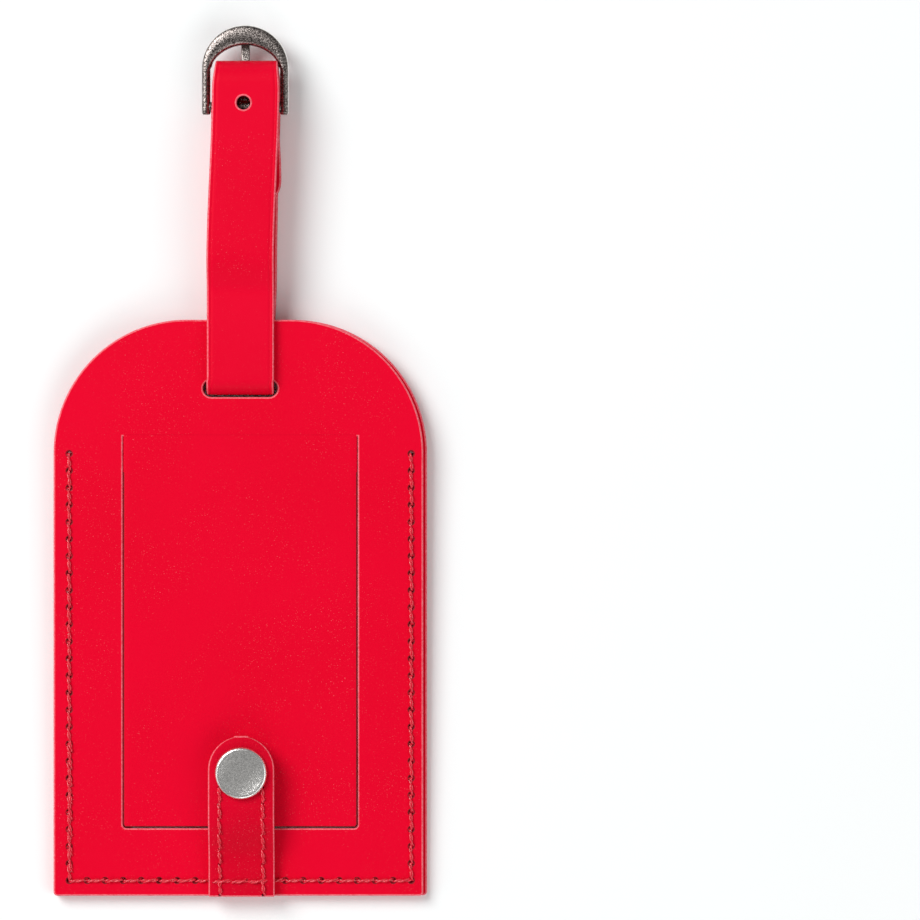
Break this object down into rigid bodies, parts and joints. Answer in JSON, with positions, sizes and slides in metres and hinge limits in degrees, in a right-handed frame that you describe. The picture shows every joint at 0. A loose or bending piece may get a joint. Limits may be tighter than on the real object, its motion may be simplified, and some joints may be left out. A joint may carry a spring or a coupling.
{
  "type": "luggage tag",
  "caption": "Leather luggage tag with a snap-down flap over an address card and a buckled hanging strap.",
  "frame": {"origin": "centre of the tag's back face, halfway across and halfway up the leather body", "axes": "+X to the right seen from the front, +Y up towards the strap and buckle, +Z out of the front face"},
  "size_m": [0.07, 0.1633, 0.0114],
  "materials": {
    "tag_leather": "smooth coated, fine pebble grain",
    "tab_leather": "coated, slightly creased grain",
    "strap_leather": "smooth coated, edges creased",
    "thread": "twisted polyester thread",
    "satin_nickel": "satin nickel plate",
    "bright_nickel": "bright nickel plate, cast grain",
    "spring_wire": "drawn wire",
    "card": "uncoated white card"
  },
  "bodies": {
    "tag": {"back_panel": "tag_leather", "front_panel": "tag_leather", "left_seam": "thread", "right_seam": "thread", "bottom_seam": "thread", "tab_lining_foot": "tab_leather", "tab_outer_foot": "tab_leather", "tab_foot_seam": "thread"},
    "tab": {"tab_lining": "tab_leather", "tab_outer": "tab_leather", "tab_left_seam": "thread", "tab_right_seam": "thread", "snap_cap": "satin_nickel", "snap_socket": "satin_nickel", "socket_spring": "spring_wire"},
    "flap_root": {"flap_hinge": "tag_leather"},
    "flap": {"flap_panel": "tag_leather", "snap_stud": "satin_nickel", "stud_eyelet": "satin_nickel"},
    "card": {"id_card": "card"},
    "strap_base": {"strap_slot_turn": "strap_leather"},
    "strap": {"strap_tongue": "strap_leather", "strap_buckle_end": "strap_leather", "strap_end_stitch": "thread"},
    "buckle": {"buckle_frame": "bright_nickel", "heel_bar": "bright_nickel"},
    "prong": {"buckle_prong": "bright_nickel"}
  },
  "joints": [
    {"name": "flap_open", "type": "hinge", "parent": "tag", "child": "flap_root", "pos_m": [0, 0.0315, 0.0026], "axis": [-1, 0, 0], "range_deg": [0, 100]},
    {"name": "flap_roll", "type": "hinge", "parent": "flap_root", "child": "flap", "pos_m": [0, 0.0193, 0.0026], "axis": [-1, 0, 0], "range_deg": [0, 87]},
    {"name": "tab_lift", "type": "hinge", "parent": "tag", "child": "tab", "pos_m": [0, -0.04845, 0.0046], "axis": [1, 0, 0], "range_deg": [0, 110]},
    {"name": "card_slide", "type": "slide", "parent": "tag", "child": "card", "axis": [1, 0, 0], "range_m": [-0.0115, 0.0015]},
    {"name": "strap_swivel", "type": "hinge", "parent": "tag", "child": "strap_base", "pos_m": [0, 0.0411, 0.0013], "axis": [0, 0, 1], "range_deg": [-2.5, 2.5]},
    {"name": "strap_bend", "type": "hinge", "parent": "strap_base", "child": "strap", "pos_m": [0, 0.0575, 0.0013], "axis": [-1, 0, 0], "range_deg": [-45, 0]},
    {"name": "buckle_tilt", "type": "hinge", "parent": "strap", "child": "buckle", "pos_m": [0.0009, 0.0939, 0.00145], "axis": [1, 0, 0], "range_deg": [0, 25]},
    {"name": "prong_tilt", "type": "hinge", "parent": "strap", "child": "prong", "pos_m": [0.0009, 0.0939, 0.00145], "axis": [-1, 0, 0], "range_deg": [0, 4]}
  ],
  "couplings": [
    {"joint": "flap_roll", "follows": "flap_open", "ratio": 0.87}
  ]
}
